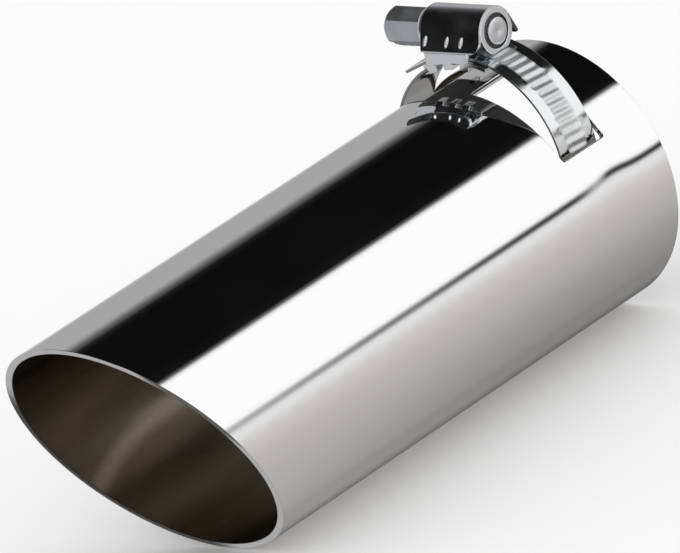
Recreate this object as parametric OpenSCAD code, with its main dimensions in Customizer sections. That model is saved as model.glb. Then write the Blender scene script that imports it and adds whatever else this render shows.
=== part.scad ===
// Exhaust tip: a polished slash-cut tube with a worm-drive band clamp through two windows at its inlet end.
// Origin: centre of the inlet end face, on the tube's axis. The mouth faces -Y and the clamp stands up at +Z.
// Sizes are in millimetres.

/* [Tube] */
// Outside diameter of the tube
tube_d = 63.5; // [50:0.5:90]
// Wall thickness of the tube
tube_wall = 1.5; // [0.8:0.1:3]
// Length of the long side, at the top
tube_long = 165; // [80:1:300]
// Angle of the slash cut, measured from a square cut
slash_deg = 28.9; // [0:0.1:45]

/* [Windows] */
// Distance from the inlet face to the near edge of the windows
window_start = 13.8; // [8:0.1:30]
// Width of the windows along the tube
window_w = 14.4; // [10:0.1:25]
// Angle from the top to the upper edge of each window
window_a0 = 9; // [4:0.5:30]
// Opening left between the band and the lower edge of each window, in degrees round the tube
window_spare = 12.6; // [4:0.1:30]
// Corner radius of the windows
window_r = 0.8; // [0.2:0.1:4]

/* [Band] */
// Width of the band
band_w = 12; // [8:0.1:16]
// Thickness of the band
band_t = 0.65; // [0.4:0.05:1]
// Outside radius of the plain side of the loop
loop_r = 23.4; // [18:0.1:28]
// How far the plain side of the loose loop stands over the top of the tube
loop_rise = 6.05; // [1:0.05:12]
// How far the loose loop sits to the side
loop_x = 1.1; // [-3:0.1:3]
// Distance from the inlet face to the middle of the band
band_y = 20.2; // [16:0.1:26]
// How far the fixed end reaches past the top, in degrees of the loop
fixed_end = 20; // [10:1:30]
// Distance from one groove to the next, and the pitch of the worm
pitch = 2.3; // [1.8:0.1:3.2]
// Number of grooves from the top down the grooved side
grooves_down = 27; // [8:1:30]
// Number of grooves from the top along the free tail
grooves_tail = 6; // [4:1:9]
// Bare strip between the tail's last groove and its end
tail_bare = 3; // [0.5:0.1:6]
// Length of a groove across the band
groove_len = 6; // [4:0.1:9]
// Width of a groove along the band
groove_w = 1.6; // [0.8:0.1:2]
// Depth that the grooves are pressed to
groove_d = 0.42; // [0.2:0.01:0.6]

/* [Housing] */
// Length of the housing along the screw
house_len = 17.8; // [12:0.1:24]
// Outside radius of the barrel
barrel_r = 5.6; // [4.5:0.1:8]
// Sheet thickness of the housing
house_t = 0.8; // [0.5:0.05:1.2]
// Radius of the ribs on the housing's flanks
rib_r = 0.5; // [0.3:0.05:1]
// Length of the ribs
rib_len = 2.8; // [1:0.1:5]
// Thickness of the end rings that hold the screw
ring_t = 0.9; // [0.6:0.1:2]
// Radius of the barrel's end edges
barrel_edge = 0.5; // [0.2:0.05:0.8]
// Radius of the wide outer part of the rings' holes
ring_open_r = 4; // [3:0.1:5]
// Depth of the wide outer part of the rings' holes
ring_open_d = 0.5; // [0:0.1:1]
// How far the end rings reach below the screw's axis
ring_low = 4.6; // [3.5:0.1:5]
// How far the housing's feet reach below the screw's axis
foot_low = 3; // [1:0.1:4]
// Sheet thickness of the saddle
saddle_t = 0.8; // [0.5:0.05:1.2]
// Length of the saddle's flanges along the screw
flange_len = 12.5; // [6:0.1:20]
// How far the flanges' middle lies toward the hex from the housing's middle
flange_off = 1.85; // [-3:0.05:3]
// Width of the tabs that are folded in under the band
tab_w = 2.6; // [1:0.1:4]
// How far the tabs reach in from the saddle's outer faces
tab_reach = 2.2; // [1:0.1:4]

/* [Worm screw] */
// Outside radius of the worm thread
worm_r = 4.1; // [3.5:0.05:6]
// Radius of the worm's core
core_r = 3.2; // [2.5:0.05:4]
// How deep the worm's crest reaches into the grooves
worm_bite = 0.3; // [0.1:0.05:0.5]
// Radius of the plain journals in the end rings
journal_r = 3.1; // [2.5:0.05:4.5]
// Thickness of the shoulders at the ends of the worm
shoulder_t = 0.8; // [0.5:0.1:2]
// Size of the hex across its flats
hex_af = 7.94; // [6:0.01:10]
// Length of the hex
hex_len = 10.8; // [4:0.1:12]
// How much the hex is chamfered at its end, measured inward from its flats
hex_chamfer = 0.5; // [0:0.1:1.5]
// How far the head is turned on from corner up, in degrees
hex_turn = 8; // [0:1:60]
// Radius of the collar behind the hex
collar_r = 5; // [4:0.1:7]
// Thickness of the collar
collar_t = 1.5; // [0.5:0.1:2.5]
// Width of the slot across the end of the hex
driver_w = 1.3; // [0.8:0.1:2]
// Depth of the slot across the end of the hex
driver_d = 1.6; // [0.5:0.1:3]

/* [Clearances] */
// Gap between the band and what it slides on
slide_gap = 0.075; // [0.02:0.005:0.2]
// Gap between the band's edges and the saddle's flanges
edge_gap = 0.1; // [0.05:0.01:0.3]
// Gap between the flanges' tops and the housing's feet
foot_gap = 0.02; // [0.01:0.01:0.1]
// Gap between a journal and its ring
run_gap = 0.05; // [0.01:0.01:0.1]
// Gap between the screw's shoulders and the rings, along the screw
end_gap = 0.12; // [0.05:0.01:0.3]

/* [Hidden] */
$fn = 96;
tube_r = tube_d / 2;
bore_r = tube_r - tube_wall;
step = saddle_t + band_t + 2 * slide_gap;
loop_z = tube_r + loop_rise - loop_r;
// the grooved side is a larger circle that touches the plain side's circle at the bottom of the loop
groove_side_r = loop_r + step / 2;
groove_side_z = loop_z + step / 2;
screw_z = groove_side_z + groove_side_r + worm_r - worm_bite;
// where the band's outside passes through the outside of the tube, in degrees off the top
crossing = acos((groove_side_z * groove_side_z + tube_r * tube_r - groove_side_r * groove_side_r)
    / (2 * groove_side_z * tube_r));
window_a1 = crossing + window_spare;
half = house_len / 2;
inside = half - ring_t;
// the tail runs on straight from where it leaves the housing
leave = asin(half / groove_side_r);
leave_len = leave * PI / 180 * groove_side_r;
tail_len = grooves_tail * pitch + groove_w / 2 + tail_bare - leave_len;
groove_r = (groove_w * groove_w / 4 + groove_d * groove_d) / (2 * groove_d);
groove_deg = pitch / groove_side_r * 180 / PI;
lean = atan(pitch / (2 * PI * (worm_r - worm_bite)));
saddle_r0 = loop_r + slide_gap / 4;
saddle_r1 = saddle_r0 + saddle_t;
saddle_low = loop_z + saddle_r0 * 0.8;
tab_r = loop_r - band_t - slide_gap / 4;
tab_step = (flange_len - tab_w) / 2;
foot_in = band_w / 2 + edge_gap;
foot_out = foot_in + saddle_t;
foot_z = screw_z - foot_low;
flank_low = foot_low + foot_gap;
flank_knee = foot_low * 0.8;
ring_r = journal_r + run_gap;
clear = 2 * barrel_r;

// Turns a solid that is drawn round Z so that it lies round the tube's axis, its top toward the inlet.
module along_y() rotate([-90, 0, 0]) children();

// Turns a solid that is drawn up Z so that it lies along X.
module along_x() rotate([0, 90, 0]) children();

// A plate with rounded corners, centred, drawn in the XY plane.
module rounded_plate(l, w, r, h) {
    translate([-l / 2 + r, -w / 2, 0]) cube([l - 2 * r, w, h]);
    translate([-l / 2, -w / 2 + r, 0]) cube([l, w - 2 * r, h]);
    for (sx = [-1, 1], sy = [-1, 1])
        translate([sx * (l / 2 - r), sy * (w / 2 - r), 0]) cylinder(r = r, h = h);
}

// The punch that opens one window, side +1 or -1.
module window_punch(side) {
    mid = (window_a0 + window_a1) / 2;
    chord = 2 * tube_r * sin((window_a1 - window_a0) / 2);
    translate([0, -window_start - window_w / 2, 0])
        rotate([0, side * mid, 0])
            translate([0, 0, tube_r * 0.6])
                rounded_plate(chord, window_w, window_r, tube_r);
}

// One piece: a round tube, square at the inlet and cut on the slant at the mouth.
module tube() {
    slash_mid = tube_long - tube_r * tan(slash_deg);
    color([0.78, 0.78, 0.8])
    difference() {
        translate([0, -tube_long - 1, 0]) along_y() cylinder(r = tube_r, h = tube_long + 1, $fn = 180);
        translate([0, -tube_long - 3, 0]) along_y() cylinder(r = bore_r, h = tube_long + 6, $fn = 180);
        // slash cut: the long side stays at the top
        translate([0, -slash_mid, 0]) rotate([slash_deg, 0, 0])
            translate([-tube_d, -tube_long, -2 * tube_d]) cube([2 * tube_d, tube_long, 4 * tube_d]);
        window_punch(1);
        window_punch(-1);
    }
}

// The edge of a strip bent round a centre at height z: a ring without the wedge between two angles.
module bent_strip(r, z, cut_from, cut_to) {
    far = 4 * r;
    third = (cut_to - cut_from) / 3;
    translate([loop_x, z]) difference() {
        circle(r = r, $fn = 180);
        circle(r = r - band_t, $fn = 180);
        polygon(concat([[0, 0]], [for (a = [cut_from, cut_from + third, cut_to - third, cut_to])
            far * [cos(a), sin(a)]]));
    }
}

// The edge of the straight tail, which runs on from the end of the grooved side.
module straight_tail() {
    out = [cos(90 + leave), sin(90 + leave)];
    on = [-sin(90 + leave), cos(90 + leave)];
    inner = groove_side_r - band_t;
    translate([loop_x, groove_side_z])
        polygon([inner * out, groove_side_r * out, groove_side_r * out + tail_len * on, inner * out + tail_len * on]);
}

// The press tool of one groove, n pitches down the grooved side, or along the tail where n is negative.
module groove_press(n) {
    past = max(0, -n * pitch - leave_len);
    translate([loop_x, -band_y, groove_side_z]) rotate([0, max(n * groove_deg, -leave), 0])
        translate([-past, 0, groove_side_r + groove_r - groove_d]) rotate([0, 0, -lean])
            rotate([90, 0, 0]) cylinder(r = groove_r, h = groove_len, center = true, $fn = 48);
}

// One strip of steel: its plain end lies under the saddle, its grooved end runs over it and on as the free tail.
module band() {
    color([0.72, 0.73, 0.75])
    difference() {
        translate([0, band_w / 2 - band_y, 0]) rotate([90, 0, 0]) linear_extrude(height = band_w) {
            bent_strip(loop_r, loop_z, -90, 90 - fixed_end);
            bent_strip(groove_side_r, groove_side_z, 90 + leave, 270);
            straight_tail();
        }
        for (n = [-grooves_tail : grooves_down]) groove_press(n);
    }
}

// The three tabs at one side of the saddle: down past the band's edge and in under its plain layer.
module folded_tabs(side) {
    difference() {
        intersection() {
            translate([0, side * (foot_out - tab_reach / 2), loop_z]) rotate([90, 0, 0])
                cylinder(r = saddle_r0 + saddle_t / 2, h = tab_reach, center = true, $fn = 180);
            for (k = [-1, 0, 1])
                translate([k * tab_step - flange_off, 0, loop_z + loop_r])
                    cube([tab_w, 4 * foot_out, loop_r], center = true);
        }
        translate([0, 0, loop_z]) rotate([90, 0, 0])
            cylinder(r = tab_r - saddle_t, h = 4 * foot_out, center = true, $fn = 180);
        translate([0, 0, loop_z]) rotate([90, 0, 0]) difference() {
            cylinder(r = saddle_r0, h = 2 * foot_in, center = true, $fn = 180);
            cylinder(r = tab_r, h = 4 * foot_in, center = true, $fn = 180);
        }
    }
}

// A curved plate between the two layers of the band, with a flange up each side and tabs folded in underneath.
module saddle() {
    color([0.7, 0.71, 0.72])
    translate([loop_x, -band_y, 0]) {
        difference() {
            union() {
                intersection() {
                    translate([-half, -foot_out, saddle_low]) cube([house_len, 2 * foot_out, loop_r]);
                    translate([0, 0, loop_z]) rotate([90, 0, 0])
                        cylinder(r = saddle_r1, h = 3 * foot_out, center = true, $fn = 180);
                }
                for (s = [-1, 1])
                    translate([-flange_off, s * (foot_in + saddle_t / 2), (foot_z - foot_gap + saddle_low) / 2])
                        cube([flange_len, saddle_t, foot_z - foot_gap - saddle_low], center = true);
            }
            translate([0, 0, loop_z]) rotate([90, 0, 0])
                cylinder(r = saddle_r0, h = 4 * foot_out, center = true, $fn = 180);
        }
        folded_tabs(1);
        folded_tabs(-1);
    }
}

// The flared lower part of the housing: half width w at the foot, blending into a circle of radius r.
module flank_block(w, knee, r, low, len) {
    a = atan2(-knee, w) + acos(r / sqrt(w * w + knee * knee));
    rotate([90, 0, 90]) translate([0, 0, -len / 2])
        linear_extrude(height = len)
            polygon([[-w, -low], [-w, -knee], [-r * cos(a), r * sin(a)],
                [r * cos(a), r * sin(a)], [w, -knee], [w, -low]]);
}

// The barrel as a solid, lying along X, with rounded end edges.
module barrel_solid() {
    along_x() rotate_extrude() {
        translate([0, -half]) square([barrel_r - barrel_edge, house_len]);
        translate([0, -half + barrel_edge]) square([barrel_r, house_len - 2 * barrel_edge]);
        for (s = [-1, 1]) translate([barrel_r - barrel_edge, s * (half - barrel_edge)])
            circle(r = barrel_edge, $fn = 48);
    }
}

// The solid rings that close the two ends of the barrel.
module end_rings() {
    for (s = [-1, 1]) translate([s * (half - ring_t / 2), 0, 0])
        along_x() cylinder(r = barrel_r, h = ring_t, center = true);
}

// One stamped cap: a barrel round the worm with flared flanks, ribs and a ring at each end.
module housing() {
    color([0.74, 0.75, 0.77])
    translate([loop_x, -band_y, screw_z])
    difference() {
        union() {
            barrel_solid();
            flank_block(foot_out, flank_knee, barrel_r, foot_low, house_len - barrel_edge);
            for (s = [-1, 1], x = [-0.81, -0.1, 0.37])
                translate([x * half, s * (foot_out - rib_r * 1.5), -rib_len / 5]) rotate([s * 20.8, 0, 0])
                    cylinder(r = rib_r, h = rib_len, center = true, $fn = 32);
        }
        // room for the worm and for the band's edges
        translate([-inside, 0, 0]) along_x() cylinder(r = barrel_r - house_t, h = 2 * inside);
        difference() {
            flank_block(foot_in, flank_knee, barrel_r - house_t, foot_low + clear, house_len + clear);
            end_rings();
        }
        // open underneath, with the rings kept a little lower than the feet
        translate([-inside, -clear, -foot_low - clear]) cube([2 * inside, 2 * clear, clear]);
        translate([-half - clear, -clear, -ring_low - clear]) cube([house_len + 2 * clear, 2 * clear, clear]);
        // journal holes, wider at their outer ends
        translate([-half - clear, 0, 0]) along_x() cylinder(r = ring_r, h = house_len + 2 * clear);
        for (s = [-1, 1]) translate([s * (half + clear / 2 - ring_open_d), 0, 0])
            along_x() cylinder(r = ring_open_r, h = clear, center = true);
    }
}

// The worm thread: a right-hand helix round X, with a crest at the bottom under the middle of the housing.
module worm_thread(r0, r1, w0, w1, from, to) {
    steps = ceil((to - from) / pitch * 24);
    ring = [for (i = [0 : steps])
        let (x = from + (to - from) * i / steps,
             a = -90 + 360 * x / pitch,
             e = min(1, min(x - from, to - x) / (pitch * 0.4)),
             r = r0 * 1.02 + (r1 - r0 * 1.02) * e)
        for (p = [[-w0 / 2, r0], [-w1 / 2, r], [w1 / 2, r], [w0 / 2, r0]])
            [x + p[0], p[1] * cos(a), p[1] * sin(a)]];
    sides = [for (i = [0 : steps - 1], k = [0 : 3])
        let (a = 4 * i + k, b = 4 * i + (k + 1) % 4, c = b + 4, d = a + 4)
        each [[a, b, c], [a, c, d]]];
    last = 4 * steps;
    ends = [[0, 2, 1], [0, 3, 2], [last, last + 1, last + 2], [last, last + 2, last + 3]];
    polyhedron(points = ring, faces = concat(sides, ends), convexity = 10);
}

// One turned piece: slotted hex head, collar, two journals and the worm between two shoulders.
module worm_screw() {
    collar_x = -half - end_gap;
    head_x = collar_x - collar_t - hex_len;
    shoulder = inside - end_gap;
    join = shoulder_t / 4;
    color([0.76, 0.77, 0.78])
    translate([loop_x, -band_y, screw_z]) {
        difference() {
            union() {
                translate([-shoulder, 0, 0]) along_x() cylinder(r = core_r, h = 2 * shoulder);
                for (x = [-shoulder, shoulder - shoulder_t])
                    translate([x, 0, 0]) along_x() cylinder(r = worm_r, h = shoulder_t);
                translate([collar_x - join, 0, 0]) along_x()
                    cylinder(r = journal_r, h = -shoulder - collar_x + 2 * join);
                translate([shoulder - join, 0, 0]) along_x()
                    cylinder(r = journal_r, h = half - shoulder + 2 * join);
                translate([half + join, 0, 0]) along_x()
                    cylinder(r1 = journal_r, r2 = journal_r * 0.85, h = 2 * join);
                translate([collar_x - collar_t, 0, 0]) along_x() cylinder(r = collar_r, h = collar_t);
                intersection() {
                    translate([head_x, 0, 0]) along_x() rotate([0, 0, -hex_turn])
                        cylinder(d = hex_af / cos(30), h = hex_len + join, $fn = 6);
                    translate([head_x, 0, 0]) along_x()
                        cylinder(r1 = hex_af / 2 - hex_chamfer, r2 = hex_af * 2.5 - hex_chamfer, h = hex_af * 2);
                }
            }
            translate([head_x, 0, 0]) rotate([90 - hex_turn, 0, 0])
                cube([2 * driver_d, 2 * hex_af, driver_w], center = true);
        }
        worm_thread(core_r * 0.92, worm_r, pitch * 0.62, pitch * 0.22, -shoulder + shoulder_t * 0.6,
            shoulder - shoulder_t * 0.6);
    }
}

tube();
band();
saddle();
housing();
worm_screw();
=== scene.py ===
"""Exhaust tip with a worm-drive clamp: the looks of the tube, band, saddle, housing and worm screw."""

import math

import bmesh
import bpy
from mathutils import Matrix, Vector


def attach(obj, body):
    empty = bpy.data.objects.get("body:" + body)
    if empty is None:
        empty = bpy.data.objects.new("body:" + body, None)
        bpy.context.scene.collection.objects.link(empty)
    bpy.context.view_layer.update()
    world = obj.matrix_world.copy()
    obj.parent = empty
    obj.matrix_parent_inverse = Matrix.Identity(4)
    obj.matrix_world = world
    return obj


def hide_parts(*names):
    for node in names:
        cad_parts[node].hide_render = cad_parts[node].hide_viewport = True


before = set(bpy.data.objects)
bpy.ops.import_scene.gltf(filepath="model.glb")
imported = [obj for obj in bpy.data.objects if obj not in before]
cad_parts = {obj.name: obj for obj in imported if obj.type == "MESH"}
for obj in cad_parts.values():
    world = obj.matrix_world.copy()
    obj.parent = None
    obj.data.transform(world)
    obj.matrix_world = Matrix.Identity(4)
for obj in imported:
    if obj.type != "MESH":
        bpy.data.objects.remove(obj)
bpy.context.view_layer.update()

# Sizes are in millimetres; MM turns them into metres
MM = 0.001
TUBE_R, BORE_R = 31.75, 30.25
AIM_Y = -75.0  # the camera looks near this place along the tube, and the floor is centred under it
CLAMP_Y = -20.2  # middle of the band, along the tube
LOOP_X = 1.1  # the loose loop sits a little to one side
SCREW_Z = 43.2  # height of the worm screw's axis
HALF = 8.9  # half the housing's length
PITCH = 2.3  # from one turn of the worm to the next


# Shared steps

def finish_piece(name, bm, materials, body, node, sharp=35.0):
    """Writes a bmesh drawn in millimetres to an object in the shared frame that stands for a CAD node."""
    bmesh.ops.recalc_face_normals(bm, faces=bm.faces)
    bmesh.ops.scale(bm, vec=(MM, MM, MM), verts=bm.verts)
    mesh = bpy.data.meshes.new(name)
    bm.to_mesh(mesh)
    bm.free()
    for material in materials:
        mesh.materials.append(material)
    mesh.shade_smooth()
    mesh.set_sharp_from_angle(angle=math.radians(sharp))
    piece = bpy.data.objects.new(name, mesh)
    bpy.context.scene.collection.objects.link(piece)
    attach(piece, body)
    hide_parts(node)
    return piece


def add_bevel(piece, width, segments=2, angle=35.0):
    """Rounds a piece's sharp edges with a live bevel and keeps its flat faces flat."""
    bevel = piece.modifiers.new("edges", "BEVEL")
    bevel.width = width * MM
    bevel.segments = segments
    bevel.limit_method = "ANGLE"
    bevel.angle_limit = math.radians(angle)
    even_out(piece)


def even_out(piece):
    """Lets the large faces set the shading, so that rounded edges don't bend the reflections beside them."""
    normals = piece.modifiers.new("normals", "WEIGHTED_NORMAL")
    normals.weight = 80
    normals.keep_sharp = True


def open_loops(bm):
    """Edges with a face on one side only."""
    return [e for e in bm.edges if len(e.link_faces) == 1]


def patch(faces):
    """Faces with their edges and points, each once and always in the same order."""
    edges = dict.fromkeys(e for f in faces for e in f.edges)
    points = dict.fromkeys(v for f in faces for v in f.verts)
    return list(faces) + list(edges) + list(points)


def slice_through(bm, point, normal, faces=None, clear=False):
    """Cuts faces, or the whole mesh, along a plane; clear drops what lies on the side that the normal points to."""
    geometry = bm.verts[:] + bm.edges[:] + bm.faces[:] if faces is None else patch(faces)
    bmesh.ops.bisect_plane(bm, geom=geometry, dist=1e-5, clear_outer=clear, plane_co=point, plane_no=normal)


def draw_profile(bm, outline, closed):
    """Points and edges of a profile, to be turned round an axis or drawn out."""
    points = [bm.verts.new(p) for p in outline]
    pairs = zip(points, points[1:] + points[:1] if closed else points[1:])
    return points + [bm.edges.new(pair) for pair in pairs]


def turn_full(bm, profile, axis, steps):
    """Turns a profile all the way round an axis through the origin."""
    bmesh.ops.spin(bm, geom=profile, cent=(0, 0, 0), axis=axis, angle=2 * math.pi, steps=steps, use_merge=True)


def far_points(made):
    """The points among what an extrusion or a turn has made."""
    return [g for g in made if isinstance(g, bmesh.types.BMVert)]


def smooth_step(t):
    t = min(1.0, max(0.0, t))
    return t * t * (3 - 2 * t)


# Finishes

def group_socket(group, name, kind, in_out, default=None):
    socket = group.interface.new_socket(name=name, in_out=in_out, socket_type=kind)
    if default is not None:
        socket.default_value = default


def feed(tree, socket, value):
    """Gives an input a constant or another node's output."""
    if isinstance(value, bpy.types.NodeSocket):
        tree.links.new(value, socket)
    else:
        socket.default_value = value


def calc(tree, operation, *values):
    """A sum of constants and other nodes' outputs."""
    node = tree.nodes.new("ShaderNodeMath")
    node.operation = operation
    for socket, value in zip(node.inputs, values):
        feed(tree, socket, value)
    return node.outputs["Value"]


def fade(tree, value, nothing, full):
    """0 where the value is at nothing, 1 where it is at full, and a soft change between them."""
    node = tree.nodes.new("ShaderNodeMapRange")
    node.interpolation_type = "SMOOTHSTEP"
    node.inputs["From Min"].default_value = nothing
    node.inputs["From Max"].default_value = full
    feed(tree, node.inputs["Value"], value)
    return node.outputs["Result"]


def blend(tree, factor, a, b, kind="RGBA"):
    """The colour or number a, turned into b by the factor."""
    node = tree.nodes.new("ShaderNodeMix")
    node.data_type = kind
    feed(tree, node.inputs["Factor"], factor)
    feed(tree, node.inputs["A"], a)
    feed(tree, node.inputs["B"], b)
    return node.outputs["Result"]


def place_of(tree, kind):
    """The shaded point's three coordinates."""
    split = tree.nodes.new("ShaderNodeSeparateXYZ")
    feed(tree, split.inputs["Vector"], tree.nodes.new("ShaderNodeTexCoord").outputs[kind])
    return split.outputs


def shader_input(material, name):
    """An input of a metal's shader, and what feeds it so far: another node's output or a constant."""
    socket = material.node_tree.nodes["Principled BSDF"].inputs[name]
    if socket.links:
        return socket, socket.links[0].from_socket
    return socket, tuple(socket.default_value)


def make_handling_marks():
    """Node group: soft smudges and fine scratches, as a roughness and a height that change over the surface."""
    group = bpy.data.node_groups.new("handling marks", "ShaderNodeTree")
    group_socket(group, "Vector", "NodeSocketVector", "INPUT")
    group_socket(group, "Smudge Scale", "NodeSocketFloat", "INPUT", 40.0)
    group_socket(group, "Roughness Low", "NodeSocketFloat", "INPUT", 0.04)
    group_socket(group, "Roughness High", "NodeSocketFloat", "INPUT", 0.12)
    group_socket(group, "Scratch Scale", "NodeSocketFloat", "INPUT", 900.0)
    group_socket(group, "Roughness", "NodeSocketFloat", "OUTPUT")
    group_socket(group, "Height", "NodeSocketFloat", "OUTPUT")
    nodes, links = group.nodes, group.links
    start = nodes.new("NodeGroupInput")
    end = nodes.new("NodeGroupOutput")
    smudge = nodes.new("ShaderNodeTexNoise")
    smudge.inputs["Detail"].default_value = 4.0
    scratch = nodes.new("ShaderNodeTexNoise")
    scratch.inputs["Detail"].default_value = 3.0
    scratch.inputs["Roughness"].default_value = 0.7
    span = nodes.new("ShaderNodeMapRange")
    span.inputs["From Min"].default_value = 0.35
    span.inputs["From Max"].default_value = 0.7
    links.new(start.outputs["Vector"], smudge.inputs["Vector"])
    links.new(start.outputs["Smudge Scale"], smudge.inputs["Scale"])
    links.new(start.outputs["Vector"], scratch.inputs["Vector"])
    links.new(start.outputs["Scratch Scale"], scratch.inputs["Scale"])
    links.new(smudge.outputs["Fac"], span.inputs["Value"])
    links.new(start.outputs["Roughness Low"], span.inputs["To Min"])
    links.new(start.outputs["Roughness High"], span.inputs["To Max"])
    links.new(span.outputs["Result"], end.inputs["Roughness"])
    links.new(scratch.outputs["Fac"], end.inputs["Height"])
    return group


HANDLING_MARKS = make_handling_marks()


def marked_metal(name, color, low, high, smudge, scratch, bump, stretch=(1.0, 1.0, 1.0), uv=False):
    """A metal with handling marks; stretch draws the scratches out along the grain."""
    material = bpy.data.materials.new(name)
    material.use_nodes = True
    nodes, links = material.node_tree.nodes, material.node_tree.links
    shader = nodes["Principled BSDF"]
    shader.inputs["Metallic"].default_value = 1.0
    shader.inputs["Base Color"].default_value = (*color, 1.0)
    coords = nodes.new("ShaderNodeTexCoord")
    grain = nodes.new("ShaderNodeMapping")
    grain.inputs["Scale"].default_value = stretch
    marks = nodes.new("ShaderNodeGroup")
    marks.node_tree = HANDLING_MARKS
    marks.inputs["Smudge Scale"].default_value = smudge
    marks.inputs["Scratch Scale"].default_value = scratch
    marks.inputs["Roughness Low"].default_value = low
    marks.inputs["Roughness High"].default_value = high
    relief = nodes.new("ShaderNodeBump")
    relief.inputs["Strength"].default_value = bump
    relief.inputs["Distance"].default_value = 0.00002
    links.new(coords.outputs["UV" if uv else "Object"], grain.inputs["Vector"])
    links.new(grain.outputs["Vector"], marks.inputs["Vector"])
    links.new(marks.outputs["Roughness"], shader.inputs["Roughness"])
    links.new(marks.outputs["Height"], relief.inputs["Height"])
    links.new(relief.outputs["Normal"], shader.inputs["Normal"])
    return material


ALONG_STRIP = (0.15, 1.0, 1.0)  # scratches drawn out along the strip
POLISHED_STEEL = marked_metal("polished steel", (0.97, 0.97, 0.972), 0.015, 0.05, 30.0, 400.0, 0.02)
TUBE_INSIDE = marked_metal("tube inside, unpolished", (0.5, 0.455, 0.39), 0.18, 0.26, 60.0, 500.0, 0.1,
                           (6.0, 0.4, 6.0))
# Dark metal for the windows' torn edges, and also painted shade in the housing's ring mouths and far flank
PUNCHED_EDGE_AND_PAINTED_SHADE = marked_metal("punched edge, unpolished, and painted shade", (0.1, 0.095, 0.09), 0.35, 0.5, 300.0, 900.0, 0.3)
SLASH_EDGE = marked_metal("slash-cut edge", (0.76, 0.76, 0.765), 0.1, 0.2, 200.0, 900.0, 0.1)
BAND_STEEL = marked_metal("rolled band steel", (0.84, 0.87, 0.88), 0.07, 0.16, 120.0, 900.0, 0.1,
                          ALONG_STRIP, uv=True)
# The strip's back is rougher, and its near-black colour is painted shade inside the loop.
BAND_BACK_PAINTED_SHADE = marked_metal("back of the pressed strip, dull, darkened as painted shade", (0.09, 0.092, 0.092), 0.3, 0.45, 160.0, 900.0, 0.2,
                         ALONG_STRIP, uv=True)
SHEARED_EDGE = marked_metal("sheared edge", (0.36, 0.37, 0.37), 0.25, 0.4, 300.0, 900.0, 0.2)
STAMPED_STEEL = marked_metal("stamped bright steel", (0.84, 0.86, 0.9), 0.08, 0.17, 160.0, 1200.0, 0.1)
SCREW_ZINC = marked_metal("zinc-plated screw", (0.76, 0.8, 0.85), 0.16, 0.3, 220.0, 1500.0, 0.2)


def darken_toward(material, direction, start, end, dark_color):
    """Darkens a metal toward one side of the tube; start and end are shares of the tube's radius."""
    tree = material.node_tree
    color, so_far = shader_input(material, "Base Color")
    reach = tree.nodes.new("ShaderNodeVectorMath")
    reach.operation = "DOT_PRODUCT"
    feed(tree, reach.inputs[0], tree.nodes.new("ShaderNodeTexCoord").outputs["Object"])
    reach.inputs[1].default_value = [d / (TUBE_R * MM) for d in direction]
    share = fade(tree, reach.outputs["Value"], start, end)
    feed(tree, color, blend(tree, share, so_far, (*dark_color, 1.0)))


# Painted shade: the slash-cut rim darkens towards its lower left.
darken_toward(SLASH_EDGE, (-0.866, 0.0, -0.5), 0.38, 0.62, (0.06, 0.055, 0.05))
# The rim also darkens towards its upper right.
darken_toward(SLASH_EDGE, (0.866, 0.0, 0.5), 0.885, 0.95, (0.16, 0.14, 0.12))

# Where the painted reflection, a pale streak inside the tube, runs
STREAK_AT = -1.868  # radians off the top, a little below the tube's left side
STREAK_HALF = (0.125, 0.005)  # radians from its middle to where it has faded, and to where it is full
STREAK_BEGINS = (-0.05, -0.1)  # along the tube, in metres
STREAK_BENDS = -0.11  # where it leaves its line, along the tube, in metres
STREAK_BEND = 274.0  # how far it then turns away, in radians for each square metre past that place


def painted_reflection_streak(material, reflection_tint):
    """Paints a pale reflection into the colour of the tube's inside, as a streak along it. It bends down near the
    mouth.
    """
    tree = material.node_tree
    place = place_of(tree, "Object")
    color, so_far = shader_input(material, "Base Color")
    angle = calc(tree, "ARCTAN2", place["X"], place["Z"])
    past = calc(tree, "MAXIMUM", calc(tree, "SUBTRACT", STREAK_BENDS, place["Y"]), 0.0)
    bend = calc(tree, "MULTIPLY", calc(tree, "MULTIPLY", past, past), STREAK_BEND)
    aside = calc(tree, "ABSOLUTE", calc(tree, "ADD", calc(tree, "SUBTRACT", angle, STREAK_AT), bend))
    mask = calc(tree, "MULTIPLY", fade(tree, aside, *STREAK_HALF), fade(tree, place["Y"], *STREAK_BEGINS))
    feed(tree, color, blend(tree, mask, so_far, (*reflection_tint, 1.0)))


# painted reflection: a pale streak inside the tube
painted_reflection_streak(TUBE_INSIDE, (1.0, 0.95, 0.88))

# Where the strip's pressing has ended and where it is whole, in metres from its middle and along it
GROOVES_HALF = (0.0034, 0.0027)
GROOVES_END = (0.064, 0.062)


def dull_grooves(material, rough):
    """Makes the pressed zone of the strip duller than the plain margins beside it."""
    tree = material.node_tree
    strip = place_of(tree, "UV")
    roughness, so_far = shader_input(material, "Roughness")
    across = fade(tree, calc(tree, "ABSOLUTE", strip["Y"]), *GROOVES_HALF)
    along = fade(tree, strip["X"], *GROOVES_END)
    feed(tree, roughness, blend(tree, calc(tree, "MULTIPLY", across, along), so_far, rough, "FLOAT"))


dull_grooves(BAND_STEEL, 0.5)


# The tube

TUBE_LONG, SLASH = 165.0, math.radians(28.9)
WINDOW_Y = (-28.2, -13.8)
WINDOW_A = (9.0, 60.0)  # degrees off the top
CORNER_R = 0.8
CHORDS = 4  # in a quarter turn of a corner
PER_DEGREE = math.radians(TUBE_R)  # millimetres round the tube
LIP, LIP_A, LIP_Y = 0.3, 61.0, -18.5  # how far the wall is drawn outwards, and where: degrees off the top, along
ROLL_OVER, END_ROUND = 0.3, 0.16  # rounded edges, outside at the windows and elsewhere


def off_top(point):
    """Angle of a point off the tube's top, in degrees, positive to the right."""
    return math.degrees(math.atan2(point.x, point.z))


def radial(angle):
    """Unit vector away from the tube's axis, angle in degrees off the top."""
    a = math.radians(angle)
    return Vector((math.sin(a), 0.0, math.cos(a)))


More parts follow.
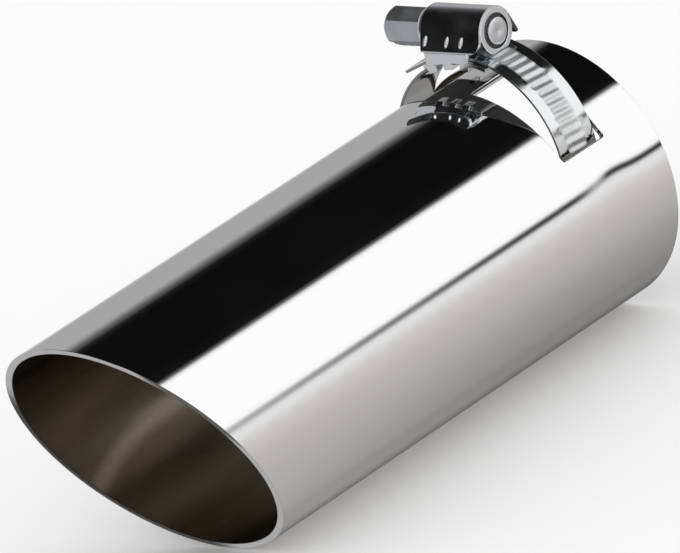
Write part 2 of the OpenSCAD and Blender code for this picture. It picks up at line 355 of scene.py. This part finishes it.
def round_corner(bm, angle, y, side_a, side_y):
    """Scores the wall along the chords of a window's corner arc. side_a and side_y point into the window."""
    centre_a = angle + side_a * CORNER_R / PER_DEGREE
    centre_y = y + side_y * CORNER_R
    out = radial(centre_a)
    along = radial(centre_a + 90.0)
    middle = out * TUBE_R + Vector((0.0, centre_y, 0.0))
    to_chord = CORNER_R * math.cos(math.radians(45.0 / CHORDS))
    for k in range(1, CHORDS):
        turn = math.radians(k * 90.0 / CHORDS)
        normal = along * (-side_a * math.cos(turn)) + Vector((0.0, -side_y * math.sin(turn), 0.0))
        near = [f for f in bm.faces
                if abs(off_top(f.calc_center_median()) - centre_a) < 2.4
                and abs(f.calc_center_median().y - centre_y) < 1.6]
        slice_through(bm, middle + normal * to_chord, normal, near)


def from_axis(point):
    """Distance from an axis along Y."""
    return math.hypot(point.x, point.z)


def edge_middle(e):
    return (e.verts[0].co + e.verts[1].co) / 2


def beside_windows(point, margin):
    """Does a point lie within the windows' length along the tube, give or take a margin?"""
    return WINDOW_Y[0] - margin < point.y < WINDOW_Y[1] + margin


def erase_scores(bm):
    """Joins the wall's faces again where a corner's chords were scored on past the corner."""
    stray = []
    for e in bm.edges:
        a, b = (v.co for v in e.verts)
        slanting = abs(a.x * b.z - a.z * b.x) > 1.0 and abs(a.y - b.y) > 0.01
        if slanting and beside_windows(a, 5.0) and len(e.link_faces) == 2:
            stray.append(e)
    bmesh.ops.dissolve_edges(bm, edges=stray, use_verts=False)
    loose = [v for v in bm.verts if len(v.link_edges) == 2 and len(v.link_faces) == 2]
    bmesh.ops.dissolve_verts(bm, verts=loose)


def inside_window(point, side):
    """Does a point of the wall lie in the window's rounded outline?"""
    a = side * off_top(point)
    if not (WINDOW_A[0] < a < WINDOW_A[1] and WINDOW_Y[0] < point.y < WINDOW_Y[1]):
        return False
    from_a = min(a - WINDOW_A[0], WINDOW_A[1] - a) * PER_DEGREE
    from_y = min(point.y - WINDOW_Y[0], WINDOW_Y[1] - point.y)
    if from_a >= CORNER_R or from_y >= CORNER_R:
        return True
    return math.hypot(CORNER_R - from_a, CORNER_R - from_y) < CORNER_R


def press_lip(point):
    """How far the wall was drawn outwards beside the windows when they were pressed, in millimetres."""
    beyond = abs(off_top(point)) - LIP_A
    round_tube = math.exp(-(beyond / 14.0) ** 2) if beyond > 0.0 else smooth_step(1.0 + beyond / 11.0)
    along = math.exp(-((point.y - LIP_Y) / 6.5) ** 2)
    return LIP * round_tube * along


def make_tube():
    bm = bmesh.new()
    too_long = -TUBE_LONG - 2
    wall = ((TUBE_R, 0.0, 0.0), (TUBE_R, too_long, 0.0), (BORE_R, too_long, 0.0), (BORE_R, 0.0, 0.0))
    turn_full(bm, draw_profile(bm, wall, closed=True), (0, 1, 0), 240)
    # rows of points for the drawn-out wall, but none right beside the windows' ends
    for y in WINDOW_Y + tuple(-2.0 - 1.2 * k for k in range(30) if k not in (10, 22)):
        slice_through(bm, (0, y, 0), (0, 1, 0))
    # slash cut, the long side at the top
    middle = TUBE_LONG - TUBE_R * math.tan(SLASH)
    slice_through(bm, (0, -middle, 0), (0, -math.cos(SLASH), -math.sin(SLASH)), clear=True)
    bmesh.ops.bridge_loops(bm, edges=open_loops(bm))
    # windows
    for side in (1, -1):
        for a, side_a in ((WINDOW_A[0], 1), (WINDOW_A[1], -1)):
            for y, side_y in ((WINDOW_Y[0], 1), (WINDOW_Y[1], -1)):
                round_corner(bm, side * a, y, side * side_a, side_y)
    for side in (1, -1):
        hole = [f for f in bm.faces if inside_window(f.calc_center_median(), side)]
        bmesh.ops.delete(bm, geom=hole, context="FACES")
        erase_scores(bm)
        bmesh.ops.bridge_loops(bm, edges=open_loops(bm))
    # the punch sheared the inner half of the wall bright and tore the outer half
    through = [e for e in bm.edges if beside_windows(e.verts[0].co, 0.1)
               and abs(from_axis(e.verts[0].co) - from_axis(e.verts[1].co)) > 1.0]
    bmesh.ops.subdivide_edges(bm, edges=through, cuts=1, use_grid_fill=True)
    sharp = [e for e in bm.edges if len(e.link_faces) == 2 and e.calc_face_angle(0.0) > math.radians(50)]
    rolled = [e for e in sharp if from_axis(edge_middle(e)) > BORE_R + 0.75 and beside_windows(edge_middle(e), 1.0)]
    plain = [e for e in sharp if e not in rolled]
    for edges, width in ((rolled, ROLL_OVER), (plain, END_ROUND)):
        bmesh.ops.bevel(bm, geom=[e for e in edges if e.is_valid], offset=width, offset_type="OFFSET",
                        affect="EDGES", segments=3, profile=0.5, material=-1, clamp_overlap=True)
    for v in bm.verts:
        v.co += Vector((v.co.x, 0.0, v.co.z)).normalized() * press_lip(v.co)
    for f in bm.faces:
        c = f.calc_center_median()
        depth = TUBE_R + press_lip(c) - from_axis(c)
        before_cut = (middle + c.y) * math.cos(SLASH) + c.z * math.sin(SLASH)
        if before_cut < 0.3:
            f.material_index = 3
        elif depth > 1.4:
            f.material_index = 1
        elif 0.4 < depth < 0.76 and beside_windows(c, 0.3):
            f.material_index = 2
    metals = [POLISHED_STEEL, TUBE_INSIDE, PUNCHED_EDGE_AND_PAINTED_SHADE, SLASH_EDGE]
    piece = finish_piece("slash_cut_tube", bm, metals, "tip", "tube")
    even_out(piece)


# The band

BAND_HALF, BAND_T = 6.0, 0.65
PLAIN_R, PLAIN_Z = 23.4, 14.4
GROOVED_R, GROOVED_Z = 24.2, 15.2
GROOVE_D = 0.42
GROOVES = (-6, 27)  # the first and the last, counted from the top of the loop
LEAN = PITCH / (2 * math.pi * 3.8)  # the worm's lead angle at its pitch radius
LEAVE = math.asin(HALF / GROOVED_R)  # where the tail leaves the loop and runs on straight
TAIL_LONG = 17.6
GROOVED_LONG = math.pi * GROOVED_R
PLAIN_LONG = math.radians(200.0) * PLAIN_R


def band_place(along, y, height):
    """Where a point of the flat strip goes. It is measured along from the top down the grooved side, and its height
    from the strip's outside."""
    if along > GROOVED_LONG:
        a, r, z = math.pi + (along - GROOVED_LONG) / PLAIN_R, PLAIN_R, PLAIN_Z
    else:
        a, r, z = along / GROOVED_R, GROOVED_R, GROOVED_Z
    tail = min(0.0, a + LEAVE) * r if along < 0 else 0.0
    if tail:
        a = -LEAVE
    return Vector((LOOP_X + (r + height) * math.sin(a) + tail * math.cos(a), CLAMP_Y + y,
                   z + (r + height) * math.cos(a) - tail * math.sin(a)))


def groove_depth(along, y):
    """How deep the pressed grooves go at a point of the flat strip."""
    ends = 1.0 - smooth_step((abs(y) - 2.3) / 0.9)
    phase = (along - LEAN * y) / PITCH
    inside = smooth_step((phase - GROOVES[0] + 0.5) * 2.0) * smooth_step((GROOVES[1] + 0.5 - phase) * 2.0)
    wave = 0.5 + 0.5 * math.cos(2 * math.pi * phase)
    return GROOVE_D * ends * inside * wave


def make_band():
    bm = bmesh.new()
    across = (-BAND_HALF, -4.6, -3.3, -2.9, -2.5, -1.3, 0.0, 1.3, 2.5, 2.9, 3.3, 4.6, BAND_HALF)
    stations = [-TAIL_LONG, -TAIL_LONG + 0.5, -TAIL_LONG + 1.2]
    first, last = GROOVES
    stations += [(first - 0.5 + k / 8) * PITCH for k in range(8 * (last - first + 1) + 1)]
    end = stations[-1]
    stations += [end + (GROOVED_LONG - end) * k / 8 for k in range(1, 8)]
    stations += [GROOVED_LONG + PLAIN_LONG * k / 72 for k in range(73)]
    # a row of points across the strip, drawn out along it
    edges = draw_profile(bm, [(stations[0], y, 0.0) for y in across], closed=False)[len(across):]
    for a, b in zip(stations, stations[1:]):
        made = bmesh.ops.extrude_edge_only(bm, edges=edges)["geom"]
        edges = [g for g in made if isinstance(g, bmesh.types.BMEdge)]
        bmesh.ops.translate(bm, vec=(b - a, 0, 0), verts=far_points(made))
    bmesh.ops.recalc_face_normals(bm, faces=bm.faces)
    if sum(f.normal.z for f in bm.faces) < 0:
        bmesh.ops.reverse_faces(bm, faces=bm.faces)
    bmesh.ops.solidify(bm, geom=bm.faces[:], thickness=BAND_T)
    # index 1 darkens the strip's inside, apart from its plain end, as painted shade; index 2 is its sheared sides
    for f in bm.faces:
        c = f.calc_center_median()
        plain = GROOVED_LONG < c.x < GROOVED_LONG + PLAIN_R * math.radians(145.0)
        if -BAND_T * 0.9 < c.z < -BAND_T / 4:
            f.material_index = 2
        elif c.z < -BAND_T / 4 and not plain:
            f.material_index = 1
    uv = bm.loops.layers.uv.new("strip")
    for f in bm.faces:
        for loop in f.loops:
            loop[uv].uv = (loop.vert.co.x * MM, loop.vert.co.y * MM)
    for v in bm.verts:
        along, y = v.co.x, v.co.y
        height = -BAND_T if v.co.z < -BAND_T / 2 else -groove_depth(along, y)
        if along < -TAIL_LONG + 2.0:  # the tail's corners are rounded
            along += 1.1 * (abs(y) / BAND_HALF) ** 5 * (1.0 - (along + TAIL_LONG) / 2.0)
        v.co = band_place(along, y, height)
    piece = finish_piece("grooved_band", bm, [BAND_STEEL, BAND_BACK_PAINTED_SHADE, SHEARED_EDGE], "tip", "band",
                         sharp=42.0)
    add_bevel(piece, 0.1, angle=42.0)


# The saddle and the housing

FOOT_IN, FOOT_OUT = 6.1, 6.9
FLANGE = (-8.1, 4.4)  # the flanges' ends, from the housing's middle
FOOT_Z = 40.2
SADDLE_R = 23.42  # its underside, just clear of the band's plain end
SHEET = 0.8  # thickness of the stamped parts


def to_clamp(bm):
    """Moves a bmesh drawn about the screw's axis to its place on the tube."""
    bmesh.ops.translate(bm, vec=(LOOP_X, CLAMP_Y, SCREW_Z), verts=bm.verts)


TABS = [(x - 1.3, x + 1.3) for x in (-6.8, -1.85, 3.1)]  # folded in under the band, along the housing
TAB_TOP, TAB_LOW, TAB_REACH = 22.73, 21.93, 2.2


def push_out(bm, faces, move):
    """Extrudes faces, drops the old ones and moves the new points by move(point)."""
    made = bmesh.ops.extrude_face_region(bm, geom=faces)["geom"]
    bmesh.ops.delete(bm, geom=faces, context="FACES")
    for v in far_points(made):
        v.co = move(v.co)
    return [g for g in made if isinstance(g, bmesh.types.BMFace)]


def at_radius(r):
    """Moves a point straight out from the loop's axis to a radius, for push_out."""
    def move(p):
        k = r / from_axis(p)
        return Vector((p.x * k, p.y, p.z * k))
    return move


def make_saddle():
    bm = bmesh.new()
    reach = math.asin(HALF / SADDLE_R)
    row = [(-HALF, y, SADDLE_R * math.cos(reach)) for y in (-FOOT_OUT, -FOOT_IN, 0.0, FOOT_IN, FOOT_OUT)]
    bmesh.ops.spin(bm, geom=draw_profile(bm, row, closed=False), cent=(0, 0, 0), axis=(0, 1, 0), angle=2 * reach,
                   steps=28)
    for x in FLANGE + tuple(x for tab in TABS for x in tab if x not in FLANGE):
        slice_through(bm, (x, 0, 0), (1, 0, 0))
    bmesh.ops.recalc_face_normals(bm, faces=bm.faces)
    if sum(f.normal.z for f in bm.faces) > 0:
        bmesh.ops.reverse_faces(bm, faces=bm.faces)
    bmesh.ops.solidify(bm, geom=bm.faces[:], thickness=SHEET)
    bm.normal_update()

    def rim_faces(side, x0, x1, faces_that):
        """Faces between two places along the housing, at one side's rim, that pass a test of face and centre."""
        found = [(f, f.calc_center_median()) for f in bm.faces]
        return [f for f, c in found if side * c.y > FOOT_IN - 0.01 and x0 < c.x < x1 and faces_that(f, c)]

    for side in (1, -1):
        top = rim_faces(side, *FLANGE, lambda f, c: f.normal.z > 0.5 and side * c.y > FOOT_IN)
        push_out(bm, top, lambda p: Vector((p.x, p.y, FOOT_Z - 0.02 - PLAIN_Z)))
        for tab in TABS:
            under = rim_faces(side, *tab, lambda f, c: f.normal.z < -0.5 and side * c.y > FOOT_IN)
            wall = push_out(bm, under, at_radius(TAB_TOP))
            push_out(bm, wall, at_radius(TAB_LOW))
            bm.normal_update()
            lip = rim_faces(side, *tab, lambda f, c: side * f.normal.y < -0.9 and side * c.y < FOOT_IN + 0.01
                            and TAB_LOW < from_axis(c) < TAB_TOP)
            push_out(bm, lip, lambda p: Vector((p.x, side * (FOOT_OUT - TAB_REACH), p.z)))
    bmesh.ops.translate(bm, vec=(LOOP_X, CLAMP_Y, PLAIN_Z), verts=bm.verts)
    piece = finish_piece("pressed_saddle", bm, [STAMPED_STEEL], "tip", "saddle")
    add_bevel(piece, 0.14)


BARREL_R = 5.6
KNEE, FOOT = 2.4, 3.0
FLANK = math.atan2(-KNEE, FOOT_OUT) + math.acos(BARREL_R / math.hypot(FOOT_OUT, KNEE))
END = HALF - 0.22  # the sheet stops a little short of the end rings' faces
JOURNAL_R, JOURNAL_BORE = 3.1, 3.15
RING_X, RING_R, RING_MOUTH_R = 8.0, 5.3, 4.0  # inner end, outside, and the wide mouth at the outer end
RIBS = (-7.2, -0.9, 3.3)  # along the housing


def make_housing():
    bm = bmesh.new()
    # the sheet's outline: foot, knee, flank, round the barrel and down again
    rising = ((-END, FOOT_OUT, -FOOT), (-END, FOOT_OUT, -KNEE),
              (-END, BARREL_R * math.cos(FLANK), BARREL_R * math.sin(FLANK)))
    shoulder = draw_profile(bm, rising, closed=False)[2]
    turned = bmesh.ops.spin(bm, geom=[shoulder], cent=(0, 0, 0), axis=(1, 0, 0), angle=math.pi - 2 * FLANK,
                            steps=40)
    chain = far_points(turned["geom_last"]) + [bm.verts.new((-END, -FOOT_OUT, -z)) for z in (KNEE, FOOT)]
    for pair in zip(chain, chain[1:]):
        bm.edges.new(pair)
    made = bmesh.ops.extrude_edge_only(bm, edges=bm.edges[:])["geom"]
    bmesh.ops.translate(bm, vec=(2 * END, 0, 0), verts=far_points(made))
    bmesh.ops.recalc_face_normals(bm, faces=bm.faces)
    crown = max(bm.faces, key=lambda f: f.calc_center_median().z)
    if crown.normal.z < 0:
        bmesh.ops.reverse_faces(bm, faces=bm.faces)
    bmesh.ops.solidify(bm, geom=bm.faces[:], thickness=SHEET)
    # the near foot's corner under the open ring is rounded off
    for k in range(1, 5):
        turn = math.radians(18.0 * k)
        normal = Vector((math.cos(turn), 0.0, -math.sin(turn)))
        near = [f for f in bm.faces if f.calc_center_median().y < -3.0 and f.calc_center_median().z < 3.0]
        slice_through(bm, Vector((END - FOOT, 0.0, 0.0)) + normal * FOOT, normal, near, clear=True)
        bmesh.ops.holes_fill(bm, edges=open_loops(bm), sides=0)
    # the rings that hold the screw, with a wide mouth at their outer ends
    for side in (1, -1):
        outline = ((RING_X, JOURNAL_BORE), (RING_X, RING_R), (HALF - 0.12, RING_R), (HALF, RING_R - 0.12),
                   (HALF, RING_MOUTH_R + 0.12), (HALF - 0.1, RING_MOUTH_R), (HALF - 0.5, RING_MOUTH_R),
                   (HALF - 0.5, JOURNAL_BORE))
        turn_full(bm, draw_profile(bm, [(side * x, 0.0, r) for x, r in outline], closed=True), (1, 0, 0), 72)
    # cut flat below, to clear the band
    low = [f for f in bm.faces if f.calc_center_median().z < -3.2]
    slice_through(bm, (0, 0, -4.6), (0, 0, -1), low, clear=True)
    bmesh.ops.holes_fill(bm, edges=open_loops(bm), sides=0)
    # ribs that stiffen the flanks
    for side in (1, -1):
        for x in RIBS:
            rib = bmesh.ops.create_uvsphere(bm, u_segments=16, v_segments=12, radius=0.5)["verts"]
            bmesh.ops.scale(bm, vec=(0.8, 1.0, 2.8), verts=rib)
            bmesh.ops.rotate(bm, cent=(0, 0, 0), matrix=Matrix.Rotation(math.radians(14), 3, "Y"), verts=rib)
            bmesh.ops.rotate(bm, cent=(0, 0, 0), matrix=Matrix.Rotation(side * math.radians(20.8), 3, "X"),
                             verts=rib)
            bmesh.ops.translate(bm, vec=(x, side * (FOOT_OUT - 0.72), -0.56), verts=rib)
    # The dark metal in the rings' mouths and on the inside and end of the far flank is painted shade.
    for f in bm.faces:
        c = f.calc_center_median()
        out = math.hypot(c.y, c.z)
        mouth_painted_shade = abs(c.x) > RING_X + 0.2 and out < RING_MOUTH_R + 0.05
        flank_painted_shade = c.y > 3.6 and c.z < 3.0 and out > RING_R + 0.05 and (f.normal.y < 0.0 or f.normal.x > 0.9)
        if mouth_painted_shade or flank_painted_shade:
            f.material_index = 1
    to_clamp(bm)
    piece = finish_piece("stamped_housing", bm, [STAMPED_STEEL, PUNCHED_EDGE_AND_PAINTED_SHADE], "tip", "housing")
    add_bevel(piece, 0.25, segments=3)


# The worm screw

HEX_R, HEX_LONG, HEAD_TURN = 7.94 / 2, 10.8, 38.0  # half across the flats, length, and turn in degrees
CHAMFER = 0.5
SLOT_HALF, SLOT_DEEP = 0.65, 1.6
COLLAR_X = -HALF - 0.12  # the collar's face on the housing
COLLAR_LONG = 1.5
HEAD_X = COLLAR_X - COLLAR_LONG - HEX_LONG
WORM_R, WORM_HALF = 4.1, 7.88  # over the crests, and half its length
TURNS = 6.1  # of the thread


def head_radius(angle):
    """Radius of the hex at an angle round the screw, in degrees."""
    return HEX_R / math.cos(math.radians(angle % 60.0 - 30.0))


def make_head(bm):
    """The chamfered hex with a slot across its end."""
    turned = bmesh.new()
    bmesh.ops.create_cone(turned, cap_ends=True, segments=96, radius1=HEX_R, radius2=HEX_R, depth=HEX_LONG)
    bmesh.ops.rotate(turned, cent=(0, 0, 0), matrix=Matrix.Rotation(-math.pi / 2, 3, "Y"), verts=turned.verts)
    bmesh.ops.translate(turned, vec=(HEAD_X + HEX_LONG / 2, 0, 0), verts=turned.verts)
    for x in (0.15, 0.3, 0.45, 0.6, 0.75, 0.9, 1.05, 1.2, SLOT_DEEP):
        slice_through(turned, (HEAD_X + x, 0, 0), (1, 0, 0))
    for v in turned.verts:
        angle = math.degrees(math.atan2(v.co.z, v.co.y))
        r = min(head_radius(angle), HEX_R - CHAMFER + (v.co.x - HEAD_X))
        v.co.y, v.co.z = r * math.cos(math.radians(angle)), r * math.sin(math.radians(angle))
    # the slot
    for side in (1, -1):
        slice_through(turned, (0, side * SLOT_HALF, 0), (0, 1, 0))
    gone = [f for f in turned.faces if abs(f.calc_center_median().y) < SLOT_HALF
            and f.calc_center_median().x < HEAD_X + SLOT_DEEP]
    bmesh.ops.delete(turned, geom=gone, context="FACES")
    floor = [v for v in turned.verts if abs(v.co.x - HEAD_X - SLOT_DEEP) < 1e-3
             and abs(abs(v.co.y) - SLOT_HALF) < 1e-3]
    for side in (1, -1):
        turned.edges.new([v for v in floor if side * v.co.y > 0])
    bmesh.ops.edgenet_fill(turned, edges=[e for e in turned.edges if len(e.link_faces) < 2])
    bmesh.ops.rotate(turned, cent=(0, 0, 0), matrix=Matrix.Rotation(math.radians(-HEAD_TURN), 3, "X"),
                     verts=turned.verts)
    head = bpy.data.meshes.new("head")
    turned.to_mesh(head)
    turned.free()
    bm.from_mesh(head)
    bpy.data.meshes.remove(head)


def make_worm_screw():
    bm = bmesh.new()
    # the turned outline, as places along the axis and radii
    collar = ((COLLAR_X - COLLAR_LONG, 0.0), (COLLAR_X - COLLAR_LONG, 4.1), (COLLAR_X - 1.42, 4.5),
              (COLLAR_X - 1.2, 4.8), (COLLAR_X - 0.85, 4.96), (COLLAR_X - 0.4, 5.0), (COLLAR_X - 0.15, 5.0),
              (COLLAR_X, 4.85), (COLLAR_X, JOURNAL_R))
    shoulder = ((-WORM_HALF, JOURNAL_R), (-WORM_HALF, WORM_R - 0.1), (0.1 - WORM_HALF, WORM_R),
                (0.8 - WORM_HALF, WORM_R), (0.8 - WORM_HALF, 3.2))
    far_shoulder = tuple((-x, r) for x, r in reversed(shoulder))
    tip = ((9.1, JOURNAL_R), (9.3, 3.03), (9.5, 2.635), (9.5, 0.9), (9.3, 0.35), (9.27, 0.0))
    outline = [(x, 0.0, r) for x, r in collar + shoulder + far_shoulder + tip]
    turn_full(bm, draw_profile(bm, outline, closed=False), (1, 0, 0), 72)
    bmesh.ops.remove_doubles(bm, verts=bm.verts, dist=1e-4)
    # the thread: a ridge drawn round the core as it moves along it, a crest at the bottom in the middle
    steps = round(TURNS * 32)
    rising = ((-0.71, JOURNAL_R), (-0.25, WORM_R - 0.08), (-0.17, WORM_R))
    falling = tuple((-x, r) for x, r in reversed(rising))
    tooth = draw_profile(bm, [(x - TURNS * PITCH / 2, 0.0, -r) for x, r in rising + falling], closed=True)
    bmesh.ops.rotate(bm, cent=(0, 0, 0), matrix=Matrix.Rotation(-TURNS * math.pi, 3, "X"), verts=far_points(tooth))
    bmesh.ops.spin(bm, geom=tooth, cent=(0, 0, 0), axis=(1, 0, 0), dvec=(TURNS * PITCH / steps, 0, 0),
                   angle=2 * math.pi * TURNS, steps=steps)
    bmesh.ops.holes_fill(bm, edges=open_loops(bm), sides=0)
    make_head(bm)
    to_clamp(bm)
    piece = finish_piece("slotted_hex_worm_screw", bm, [SCREW_ZINC], "screw", "worm_screw",
                         sharp=28.0)
    add_bevel(piece, 0.08, angle=28.0)


make_tube()
make_band()
make_saddle()
make_housing()
make_worm_screw()


# Floor, light and camera

def make_floor():
    bm = bmesh.new()
    bmesh.ops.create_circle(bm, cap_ends=True, segments=96, radius=4.0)
    bmesh.ops.translate(bm, vec=(0, AIM_Y * MM, -TUBE_R * MM - 0.0002), verts=bm.verts)
    mesh = bpy.data.meshes.new("floor")
    bm.to_mesh(mesh)
    bm.free()
    paper = bpy.data.materials.new("pale paper")
    paper.use_nodes = True
    shader = paper.node_tree.nodes["Principled BSDF"]
    shader.inputs["Base Color"].default_value = (0.97, 0.97, 0.97, 1.0)
    shader.inputs["Roughness"].default_value = 0.9
    shader.inputs["Specular IOR Level"].default_value = 0.0
    mesh.materials.append(paper)
    floor = bpy.data.objects.new("floor", mesh)
    bpy.context.scene.collection.objects.link(floor)
    floor.visible_glossy = False


# What the polished metal sees: degrees round the tube's axis from the right, over the top, and the light from there
FLOOR_SEEN = ((-180, 0.38), (-173, 0.385), (-165, 0.61), (-157, 0.72), (-152, 0.5), (-147, 0.15), (-133, 0.17),
              (-125, 0.23), (-117, 0.262), (-101, 0.265), (-93, 0.3), (-77, 0.335), (-61, 0.375), (-45, 0.43),
              (-29, 0.48), (-13, 0.6), (-5, 0.78), (-1.6, 0.72))
SEAM_SEEN = (1.0, 3.4)  # a thin dark line where the floor meets the white wall
WALLS_SEEN = ((6, 0.95), (10, 1.0), (59.5, 1.0), (61.5, 0.75), (63.5, 0.1), (66, 0.006), (75, 0.003), (127, 0.003),
              (133, 0.012), (139, 0.12), (147, 0.385), (180, 0.38))
# The same towards the mouth's end of the room, where the dark wall comes down to the floor
BEFORE = ((-180, 0.01), (-176, 0.02), (-168, 0.5), (-150, 0.55), (-90, 0.42), (-10, 0.7), (8, 1.0), (59, 1.0),
          (68, 0.006), (170, 0.004), (180, 0.01))


def behind(seam, gain):
    """The room behind the tube, with its seam at a given light and its floor made paler by a share."""
    floor = []
    for degrees, light in FLOOR_SEEN:
        share = smooth_step((-35 - degrees) / 40) if degrees > -140 else 0.0
        floor.append((degrees, light * (1 + gain * share)))
    return (*floor, *((degrees, seam) for degrees in SEAM_SEEN), *WALLS_SEEN)


def add_walls(tree, name, turn, stops):
    """The light round the tube's axis, by a direction that runs from 0 to 1 for a full turn."""
    walls = tree.nodes.new("ShaderNodeValToRGB")
    walls.label = name
    feed(tree, walls.inputs["Fac"], turn)
    while len(walls.color_ramp.elements) < len(stops):
        walls.color_ramp.elements.new(0.5)
    for element, (degrees, value) in zip(walls.color_ramp.elements, stops):
        element.position = (degrees + 180) / 360
        warm = 0.04 if -130 < degrees < -8 else 0.0
        element.color = (value * (1 + warm), value, value * (1 - warm), 1.0)
    return walls.outputs["Color"]


def make_studio():
    """White room light. Polished metal sees a white wall to the right, a dark ceiling, a grey wall to the left and
    a floor that grows darker towards the tube."""
    world = bpy.data.worlds.new("studio")
    bpy.context.scene.world = world
    world.use_nodes = True
    tree = world.node_tree
    seen = place_of(tree, "Generated")
    turn = tree.nodes.new("ShaderNodeMapRange")
    turn.inputs["From Min"].default_value = -math.pi
    turn.inputs["From Max"].default_value = math.pi
    feed(tree, turn.inputs["Value"], calc(tree, "ARCTAN2", seen["Z"], seen["X"]))
    # the floor and its seam grow paler from the inlet's end to the mouth's end; far to the left is a pale wall
    pale = add_walls(tree, "behind, pale end", turn.outputs["Result"], behind(0.58, 0.25))
    dim = add_walls(tree, "behind, dim end", turn.outputs["Result"], behind(0.05, -0.13))
    before = add_walls(tree, "before", turn.outputs["Result"], BEFORE)
    room = blend(tree, fade(tree, seen["Y"], 0.64, 0.675), pale, dim)
    room = blend(tree, fade(tree, seen["Y"], 0.05, 0.25), before, room)
    room = blend(tree, fade(tree, seen["X"], -0.78, -0.9), room, (0.55, 0.56, 0.58, 1.0))
    # only reflections see the room; all other light is white
    path = tree.nodes.new("ShaderNodeLightPath")
    background = tree.nodes["Background"]
    background.inputs["Strength"].default_value = 1.0
    feed(tree, background.inputs["Color"],
         blend(tree, path.outputs["Is Glossy Ray"], (1.0, 1.0, 1.0, 1.0), room))


def make_camera():
    """A long lens from the front right, a little above, rolled as the photograph is."""
    azimuth, elevation, roll = math.radians(45.36), math.radians(19.79), math.radians(-14.97)
    away, to_left, up_by = 3.056, 0.003219, 0.007341  # metres from the tube's axis at AIM_Y
    back = Vector((math.sin(azimuth) * math.cos(elevation), -math.cos(azimuth) * math.cos(elevation),
                   math.sin(elevation)))
    level = Vector((math.cos(azimuth), math.sin(azimuth), 0.0))
    above = back.cross(level)
    right = level * math.cos(roll) + above * math.sin(roll)
    up = above * math.cos(roll) - level * math.sin(roll)
    place = Vector((0.0, AIM_Y * MM, 0.0)) + back * away - right * to_left + up * up_by
    camera = bpy.data.objects.new("camera", bpy.data.cameras.new("camera"))
    bpy.context.scene.collection.objects.link(camera)
    camera.matrix_world = Matrix((
        (right.x, up.x, back.x, place.x),
        (right.y, up.y, back.y, place.y),
        (right.z, up.z, back.z, place.z),
        (0, 0, 0, 1)))
    camera.data.sensor_width = 36.0
    camera.data.lens = 739.2
    camera.data.clip_start, camera.data.clip_end = 0.1, 20.0
    bpy.context.scene.camera = camera


make_floor()
make_studio()
make_camera()
bpy.context.scene.view_settings.view_transform = "Standard"
